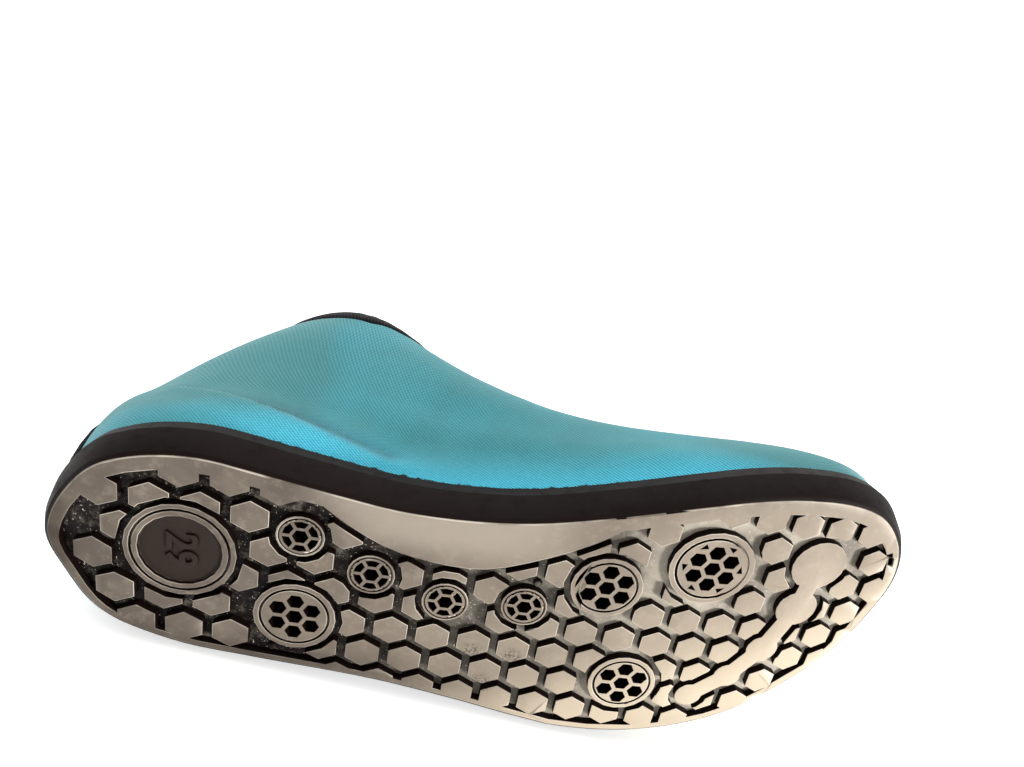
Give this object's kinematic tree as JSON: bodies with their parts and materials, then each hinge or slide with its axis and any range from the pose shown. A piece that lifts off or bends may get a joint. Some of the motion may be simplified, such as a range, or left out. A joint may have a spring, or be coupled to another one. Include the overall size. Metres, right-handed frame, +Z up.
{
  "type": "water shoe",
  "caption": "Child's slip-on water shoe, left foot: thin moulded rubber sole with honeycomb tread and water vents under a stretch fabric sock upper.",
  "frame": {"origin": "middle of the bounding box's base, on the floor under the lying shoe", "axes": "+X towards the toe, +Z up as the shoe lies on its lateral side, -Y out of the tread"},
  "size_m": [0.2028, 0.0832, 0.088],
  "materials": {
    "outsole": "matte",
    "upper": "matte knit",
    "insole": "matte",
    "collar_binding": "matte",
    "heel_tape": "matte"
  },
  "bodies": {
    "root": {"outsole": "outsole", "upper": "upper", "insole": "insole", "collar_binding": "collar_binding", "heel_tape": "heel_tape"}
  },
  "joints": []
}
